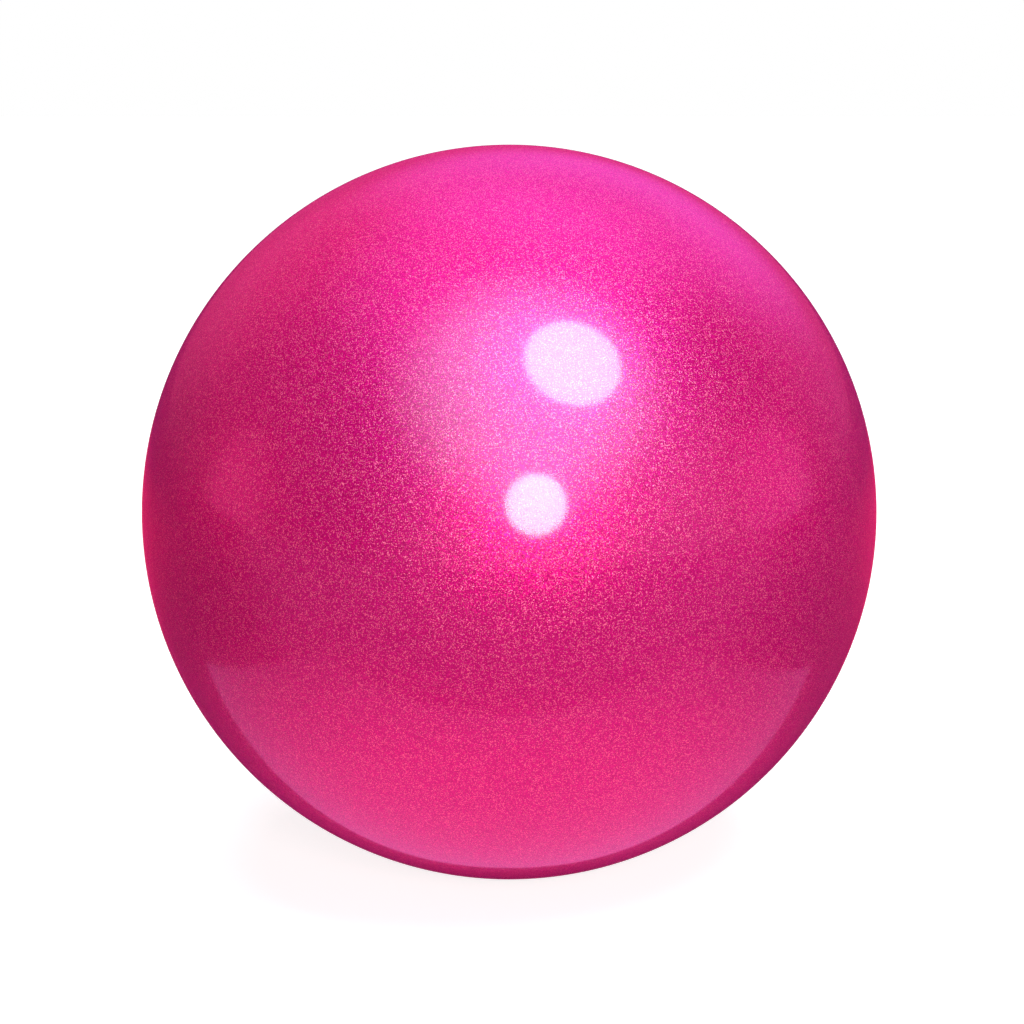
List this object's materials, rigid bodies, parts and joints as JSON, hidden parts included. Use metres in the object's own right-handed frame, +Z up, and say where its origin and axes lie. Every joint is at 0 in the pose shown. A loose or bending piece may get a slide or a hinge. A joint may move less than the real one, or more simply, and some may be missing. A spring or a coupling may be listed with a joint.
{
  "type": "rhythmic gymnastics ball",
  "caption": "Round inflated gymnastics ball with a seamless glossy glitter skin and a flush needle valve closed by a pull-out stopper.",
  "frame": {"origin": "centre of the ball", "axes": "+Z up, +Y from the centre out through the valve at the back, -Y towards the viewer, +X to the viewer's right"},
  "size_m": [0.185, 0.1848, 0.185],
  "materials": {
    "glitter_skin": "gloss",
    "shell": "satin",
    "patch": "matte",
    "housing": "satin",
    "core": "matte",
    "plug": "satin"
  },
  "bodies": {
    "ball": {"glitter_skin": "glitter_skin", "pressure_shell": "shell", "valve_patch": "patch", "valve_housing": "housing", "valve_core": "core"},
    "plug": {"valve_plug": "plug"}
  },
  "joints": [
    {"name": "plug_pull", "type": "slide", "parent": "ball", "child": "plug", "axis": [0, 1, 0], "range_m": [0, 0.016]}
  ]
}
